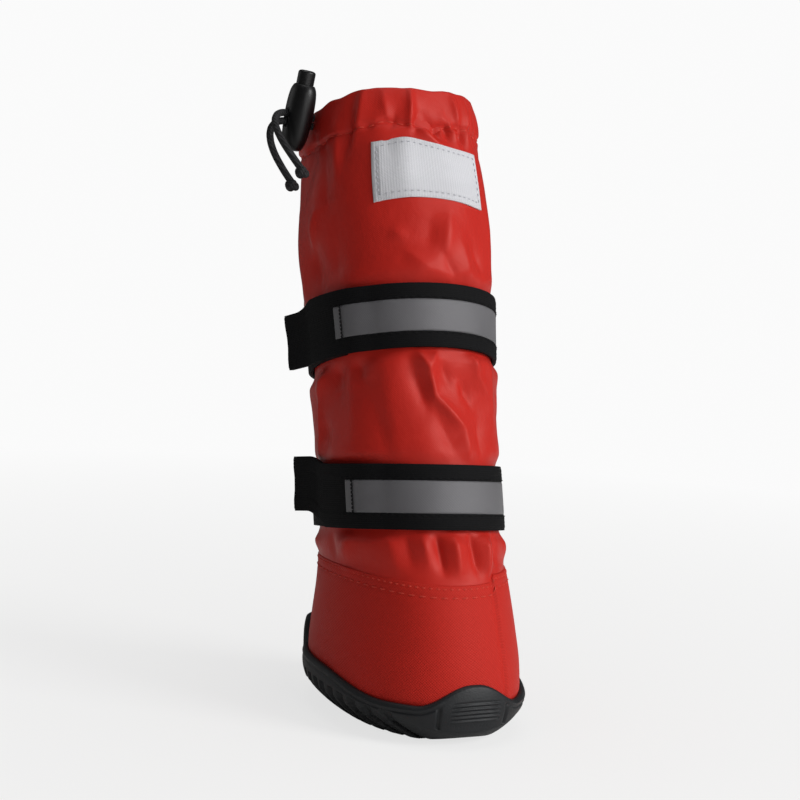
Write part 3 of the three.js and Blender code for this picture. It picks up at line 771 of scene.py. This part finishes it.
satin.bump(ribs * 0.6 + flecks * 0.4, 0.00018)


def close_sides(mesh):
    """Closes what is still open between a grid's first and last columns, face by face."""
    shape = bmesh.new()
    shape.from_mesh(mesh)
    open_edges = [edge for edge in shape.edges if edge.is_boundary]
    bmesh.ops.holes_fill(shape, edges=open_edges, sides=0)
    bmesh.ops.recalc_face_normals(shape, faces=shape.faces)
    shape.to_mesh(mesh)
    shape.free()


label_mesh = grid_mesh("label", label_points, label_map, close_rows=True, close_columns=False)
close_sides(label_mesh)
label = link("label", label_mesh, satin)

grey_thread = Finish("grey_thread", Roughness=0.6, Base_Color=colour(188, 189, 196))
side_inset, edge_inset = 0.048, 0.105
run, stay = np.linspace(0, 1, 80), np.ones(80)
to_right, to_top = side_inset + (1 - 2 * side_inset) * run, edge_inset + (1 - 2 * edge_inset) * run
across = np.concatenate([to_right, stay - side_inset, to_right[::-1], stay * side_inset])
climb = np.concatenate([stay * edge_inset, to_top, stay - edge_inset, to_top[::-1]])
thread_rows("label_stitches", lambda gap: on_label(across, climb, 0.74 + gap), 2.1, 1.05, 0.3, grey_thread)


# Straps: black woven webbing with bound ribbed edges, sewn on at the heel, run round the front
# and pressed on the short loop strap by hook tape. The tail stands free.
WEB_WIDE, WEB_THICK, GAP = 20.0, 1.5, 0.3
webbing = Finish("black_webbing", Roughness=0.75, Specular_IOR_Level=0.15)
u, v, _ = webbing.cloth()
cords = (v * 9.5).sine() * 0.5 + 0.5
picks = (u * 12.0 + cords * 3.0).sine() * 0.5 + 0.5
lint = webbing.noise(900, 4)
webbing.paint(cords * 0.4 + lint * 0.6, colour(4, 4, 5), colour(15, 15, 17))
webbing.bump(cords * 0.5 + picks * 0.3 + lint * 0.2, 0.00014)

tape = Finish("grey_reflective_tape", Metallic=0.15, Specular_IOR_Level=0.5, Sheen_Weight=0.12)
u, v, _ = tape.cloth()
beads = (u * 12).sine() * (v * 12).sine() * 0.5 + 0.5
smear = tape.noise(90, 4)
tape.paint(smear, colour(92, 91, 94), colour(108, 107, 110))
tape.feed(Roughness=smear * 0.2 + 0.36)
tape.bump(beads, 0.00006)

black_thread = Finish("black_thread", Roughness=0.75, Specular_IOR_Level=0.15)
strand = black_thread.noise(1500)
black_thread.paint(strand, colour(7, 7, 8), colour(17, 17, 19))


def strap_out(turn):
    """How far the long strap's inner face stands off the shaft: flat, then up on the loop strap
    and away at the tail."""
    over = 2 * GAP + WEB_THICK
    lie = GAP + (over - GAP) * soft_step((-42 - turn) / 18)
    return lie + 5.0 * (np.maximum(0, -92 - turn) / 16) ** 1.6


def on_strap(turn, side, out, strap, lift, tail=True):
    """A point on a strap: side is across it in millimetres, out above its inner face. The long
    strap's tail shifts up or down and narrows as it leaves the shaft."""
    leaving = tail * soft_step((-86 - turn) / 15)
    middle = strap_middle(turn, *strap[:3]) + strap[3] * leaving
    side = side * (1 - 0.12 * leaving)
    here = at_height(turn, middle + side, lift + out)
    level = at_height(turn, middle, lift + out)
    here[..., 2] = level[..., 2] + side
    return here


def ribbon(name, strap, turn, lift, profile_side, profile_out, finish, tail=True):
    """A closed band: its cross-section's outline carried along the turns, both ends closed."""
    turn = turn[:, None]
    points = on_strap(turn, profile_side[None, :], profile_out[None, :], strap, lift(turn), tail)
    length = np.abs(turn - turn[0]) * MM_PER_DEGREE
    outline = np.concatenate([[0], np.cumsum(np.hypot(np.diff(profile_side), np.diff(profile_out)))])
    outline = np.append(outline, outline[-1] + 1)
    return link(name, grid_mesh(name, points, (length, outline), caps=True), finish)


def strap_threads(name, strap, turn, side, sink, pitch, long, thick):
    """A row of black stitches on a strap, sunk this far below its face."""
    turn, side = np.broadcast_arrays(turn, side)
    thread_rows(name, lambda gap: on_strap(turn, side, WEB_THICK - sink + gap, strap, strap_out(turn)),
                pitch, long, thick, black_thread)


side_out = np.linspace(-WEB_WIDE / 2, WEB_WIDE / 2, 41)
binding = 0.28 * soft_step((np.abs(side_out) - 4.9) / 0.5)
binding = binding * (1 - 0.8 * soft_step((np.abs(side_out) - 9.0) / 1.0))
ridges = 0.05 * np.cos(side_out * 2 * np.pi / 1.25) * (np.abs(side_out) > 5.2)
web_side = np.concatenate([side_out, side_out[::-4]])
web_out = np.concatenate([WEB_THICK - 0.3 + binding + ridges, np.zeros(11)])
flat_out = np.where(web_out > 0, WEB_THICK, 0.0)
tape_side = np.concatenate([np.linspace(-5.0, 5.0, 21), np.linspace(5.0, -5.0, 6)])
sewn_edge = np.abs(np.linspace(-1, 1, 21)) > 0.97
tape_out = np.concatenate([WEB_THICK - 0.1 - 0.12 * sewn_edge, np.full(6, WEB_THICK - 0.32)])
for which, strap in STRAPS.items():
    long_turns = np.linspace(179, -108, 420)
    band = ribbon(f"webbing_{which}", strap, long_turns, strap_out, web_side, web_out, webbing)
    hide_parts(f"strap_{which}")
    loop_turns = np.linspace(-64, -179, 170)
    loop = ribbon(f"webbing_{which}_loop", strap, loop_turns, lambda turn: GAP + 0 * turn, web_side,
                  flat_out, webbing, tail=False)
    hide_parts(f"strap_{which}_loop")

    # Reflective tape: a flat grey strip along the middle, sewn down along its edges and across
    # both its ends.
    ribbon(f"reflective_tape_{which}", strap, np.linspace(177, -67, 360), strap_out,
           tape_side, tape_out, tape)
    for edge_name, side in (("high", 5.6), ("low", -5.6)):
        strap_threads(f"strap_stitches_{which}_{edge_name}", strap, np.linspace(176, -72, 600), side,
                      0.14, 2.6, 2.0, 0.34)
    for cross_name, turn in (("front", -62.0), ("heel", 168.0)):
        strap_threads(f"strap_bar_{which}_{cross_name}", strap, turn, np.linspace(-5.3, 5.3, 60),
                      0.04, 1.15, 1.25, 0.6)


# Sole: one moulding of black rubber, a cup round the foot with a beaded rim, a ribbed bump at
# the toe, a tall ribbed cap at the heel, slots in its wall and slanting lugs below.
CUP, FLOOR = 2.3, 6.5
RIM, RIM_CLIMB, TOE_BUMP, HEEL_CAP, CAP_THICK = 12.6, 4.2, 6.7, 8.4, 1.6
TOE_SPRING, TOE_FROM, TOE_RUN = 3.6, -24, 18
HEEL_BEVEL, HEEL_FROM, HEEL_RUN = 3.4, 33, 13
SHOULDER_WIDE, SHOULDER_TALL, TOE_WIDE, TOE_TALL = 10.0, 8.5, 3.0, 2.5
TOE_MIDDLE = 1.0
LUG_FIRST, LUG_PITCH, LUG_COUNT, LUG_GROOVE, LUG_DEEP, SPINE = -33.0, 5.6, 12, 2.3, 1.9, 7.0
NOTCH = 1.3


def under(y):
    """Height of the tread above the ground: flat, rising at the toe and under the heel."""
    toe = np.maximum(0, TOE_FROM - y) / TOE_RUN
    heel = np.maximum(0, y - HEEL_FROM) / HEEL_RUN
    return TOE_SPRING * toe ** 2 + HEEL_BEVEL * heel ** 2


def near(turn, middle, half_width, soft):
    """1 within half_width degrees of middle, and 0 beyond, with a smooth step soft degrees wide."""
    return 1 - soft_step((np.abs(nearest_turn(turn, middle)) - half_width) / soft + 0.5)


def at_heel(turn):
    """1 on the tall cap round the heel and 0 in front of it."""
    return near(turn, 180, 44, 16)


def rim_height(turn):
    """Height of the cup's rim: a bell at the toe, a slow climb along the sides, the heel cap."""
    climb = soft_step((np.abs(nearest_turn(turn, 0)) - 48) / 48)
    return RIM + TOE_BUMP * near(turn, TOE_MIDDLE, 16, 30) + RIM_CLIMB * climb + HEEL_CAP * at_heel(turn)


def groove(x, y, wide):
    """1 in a groove between two lugs and 0 on a lug, with soft sides. The grooves slant back
    from the spine on both sides."""
    slant = np.tan(np.radians(14)) * (np.abs(x) - SPINE)
    place = (y - slant - LUG_FIRST) / LUG_PITCH
    index = np.clip(np.round(place), 0, LUG_COUNT - 1)
    aside = np.abs(place - index) * LUG_PITCH
    return (1 - soft_step((aside - wide / 2 + 0.25) / 0.5)) * soft_step((np.abs(x) - SPINE) / 0.6)


SOLE_AROUND = 512
spin = np.linspace(-180, 180, SOLE_AROUND, endpoint=False)[None, :]
toeward = near(spin, 0, 24, 50)
shoulder_wide = SHOULDER_WIDE + (TOE_WIDE - SHOULDER_WIDE) * toeward
shoulder_tall = SHOULDER_TALL + (TOE_TALL - SHOULDER_TALL) * toeward
tread_edge = on_section(spin, 0 * spin, CUP + GAP - shoulder_wide)
foot = under(tread_edge[..., 1])

share = np.linspace(0.03, 1, 44)[:, None, None]
tread = tread_edge * share
tread[..., 2] = under(tread[..., 1]) + LUG_DEEP * groove(tread[..., 0], tread[..., 1], LUG_GROOVE)

# The shoulder is a flattened quarter round from the tread up to the wall. The grooves cut into it
# and run out as shallow notches in the foot of the wall.
bend = np.linspace(0.08, 1, 24)[:, None] * np.pi / 2
across, up = np.sin(bend) ** (2 / 1.2), 1 - np.cos(bend) ** (2 / 1.2)
shoulder_out = CUP + GAP - shoulder_wide * (1 - across)
shoulder = on_section(spin, 0 * spin, shoulder_out)
notch = groove(shoulder[..., 0], shoulder[..., 1], LUG_GROOVE + 0.5 * soft_step(up / 0.3))
cut = LUG_DEEP * notch * soft_step((0.78 - up) / 0.1)
inwards = np.maximum(2.0 * cut * soft_step(up / 0.1), NOTCH * notch * soft_step(up / 0.5))
shoulder = on_section(spin, 0 * spin, shoulder_out - inwards)
shoulder[..., 2] = foot + shoulder_tall * up + cut * (1 - 0.8 * soft_step(up / 0.1))

climb = np.linspace(0.03, 1, 40)[:, None]
foot_wall = foot + shoulder_tall
wall_z = foot_wall + (rim_height(spin) - 0.9 - foot_wall) * climb
below_rim = rim_height(spin) - wall_z
toe_share, heel_share = near(spin, TOE_MIDDLE, 18, 6), near(spin, 180, 30, 10)
bulge = 0.4 * np.sin(np.pi * np.clip(climb, 0, 1)) ** 0.8 + CAP_THICK * at_heel(spin) * climb
bead = 0.25 * bell(below_rim, 1.1, 0.6) - 0.30 * bell(below_rim, 2.3, 0.4)
bead = bead * (1 - toe_share) * (1 - 0.6 * heel_share) * soft_step(climb / 0.2)
arch_line = wall_z + 0.04 * (nearest_turn(spin, TOE_MIDDLE + 1) / 4) ** 2


def ribs(height, first, pitch, lowest, highest, soft):
    """Moulded ribs as a cosine of the height, fading in above lowest and out below highest."""
    fade = soft_step((height - lowest) / soft) * soft_step((highest - height) / soft)
    return np.cos(2 * np.pi * (height - first) / pitch) * fade


toe_ribs = 0.40 * ribs(arch_line, 8.4, 1.3, 7.6, 14.8, 0.8) * near(spin, TOE_MIDDLE + 1, 12, 3)
heel_ribs = 0.34 * ribs(wall_z, 9, 3.2, 10, 24.5, 1.5) * near(spin, 180, 24, 6)
slots = -NOTCH * notch[-1:] * soft_step((0.5 - climb) / 0.12)
for middle, lowest, highest in (
        (TOE_MIDDLE + 18.5, 3, 13), (TOE_MIDDLE - 18.5, 3, 13), (139, 9, 17), (-139, 9, 17)):
    width = np.exp(-(nearest_turn(spin, middle) / 0.95) ** 4)
    slots = slots - 0.75 * width * soft_step(wall_z - lowest) * soft_step(highest - wall_z)
wall_out = CUP + GAP + bulge + bead + toe_ribs + heel_ribs + slots
wall = at_height(spin, np.maximum(wall_z, 6.8), wall_out)
wall[..., 2] = wall_z

bend = np.linspace(0.1, 1, 8)[:, None] * np.pi
top_out = CUP + GAP + CAP_THICK * at_heel(spin)
lip_half = (top_out - GAP) / 2
lip_out = GAP + lip_half + lip_half * np.cos(bend)
lip_z = rim_height(spin) - 0.9 + 0.9 * np.sin(bend)
lip = at_height(spin, lip_z, lip_out)
lip[..., 2] = lip_z

down = np.linspace(1, 0, 10)[1:, None]
inside_z = 6.9 + (rim_height(spin) - 1.0 - 6.9) * down
inside = at_height(spin, inside_z, GAP)
floor_share = np.linspace(1, 0.05, 8)[:, None, None]
floor = on_section(spin, 0 * spin, GAP) * floor_share
floor[..., 2] = FLOOR
sole_points = np.concatenate([tread, shoulder, wall, lip, inside, floor], 0)

rubber = Finish("black_moulded_rubber", Specular_IOR_Level=0.35)
haze = rubber.noise(75, 5)
pores = rubber.noise(1800, 3)
rubber.paint(haze, colour(18, 20, 22), colour(31, 33, 36))
rubber.feed(Roughness=haze * 0.2 + pores * 0.1 + 0.34)
rubber.bump(pores, 0.00008)
sole = link("rubber_sole", grid_mesh("rubber_sole", sole_points, caps=True), rubber)
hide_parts("outsole")


# Insole: dark knitted cloth laminated on a thin foam board that lies loose on the sole's floor,
# its cut edge a little rounded and its top a little hollow under the paw.
INSOLE_THICK, SIDE_GAP = 2.0, 1.7
ring = np.linspace(-180, 180, 240, endpoint=False)[None, :]
brim = at_height(ring, FLOOR + GAP + 1, -SIDE_GAP - 0.1)
middle = np.array([0, 2.5, 0])
disc = np.linspace(0.04, 1, 36)[:, None, None]
insole_top = middle + (brim - middle) * disc
hollow = 0.7 * (1 - disc[..., 0] ** 2)
roll = 0.5 * soft_step((disc[..., 0] - 0.985) / 0.015)
insole_top[..., 2] = FLOOR + GAP + INSOLE_THICK - hollow - roll
insole_low = middle + (brim - middle) * (disc[::-6] * 0.995)
insole_low[..., 2] = FLOOR + GAP
insole_points = np.concatenate([insole_low[::-1], insole_top[::-1]], 0)
insole_knit = Finish("insole_knit", Roughness=0.92)
spot = insole_knit.split(insole_knit.place())
loops = (spot[0] * 3400).sine() * (spot[1] * 3000).sine() * 0.5 + 0.5
insole_knit.paint(loops, (0.012, 0.012, 0.013, 1), (0.05, 0.05, 0.052, 1))
insole_knit.bump(loops, 0.0003)
insole_mesh = grid_mesh("insole_board", insole_points, caps=True)
insole = link("insole_board", insole_mesh, insole_knit)
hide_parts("insole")


# Floor and studio light: a pale matt floor that runs out into a white backdrop all round, a
# large soft light high on the right, weaker ones in front, above and behind, and a pale sky.
WHITE = 0.96
ground = Finish("pale_floor", Roughness=0.9)
x, y, _ = ground.split(ground.place())
far = ((((x * x) + (y * y)) ** 0.5) - 0.05) / 0.55
mottle = ground.noise(3, 2)
ground.paint(mottle, colour(240, 239, 237), colour(244, 243, 241))
backdrop = ground.node("ShaderNodeEmission", {}, {"Color": (WHITE, WHITE, WHITE, 1)})
seen = ground.node("ShaderNodeLightPath")
blend = ground.node("ShaderNodeMixShader", {}, {0: (far.clamped() * 0.25 + 0.75) * seen})
ground.tree.links.new(ground.shader.outputs[0], blend.socket.node.inputs[1])
ground.tree.links.new(backdrop.socket, blend.socket.node.inputs[2])
ground.tree.links.new(blend.socket, ground.tree.nodes["Material Output"].inputs[0])
floor_mesh = bpy.data.meshes.new("floor")
floor_mesh.from_pydata([(-6, -6, -0.0002), (6, -6, -0.0002), (6, 6, -0.0002), (-6, 6, -0.0002)], [],
                       [(0, 1, 2, 3)])
floor_mesh.materials.append(ground.material)
show("floor", floor_mesh)

for name, place, size, power in (
        ("key", (0.85, -0.95, 0.75), 0.6, 14.0), ("rim", (-0.8, 0.9, 0.5), 0.6, 0.7),
        ("fill", (0.1, -1.3, 0.35), 0.8, 3.2), ("top", (0.1, 0.1, 1.5), 1.0, 4.5)):
    lamp = bpy.data.lights.new(name, "AREA")
    lamp.shape = "SQUARE"
    lamp.size = size
    lamp.energy = power
    light = show(name, lamp)
    toward = Vector((0, 0.02, 0.1)) - Vector(place)
    light.matrix_world = Matrix.Translation(place) @ toward.to_track_quat("-Z", "Y").to_matrix().to_4x4()

# The sky is white where it is looked at and paler where it lights the boot.
sky = bpy.data.worlds.new("sky")
sky.use_nodes = True
paint = sky.node_tree.nodes.new
looked_at, strength = paint("ShaderNodeLightPath"), paint("ShaderNodeMapRange")
strength.inputs["To Min"].default_value = 0.09
strength.inputs["To Max"].default_value = WHITE
sky.node_tree.links.new(looked_at.outputs["Is Camera Ray"], strength.inputs[0])
sky.node_tree.links.new(strength.outputs[0], sky.node_tree.nodes["Background"].inputs["Strength"])
sky.node_tree.nodes["Background"].inputs["Color"].default_value = (1, 1, 1, 1)
bpy.context.scene.world = sky
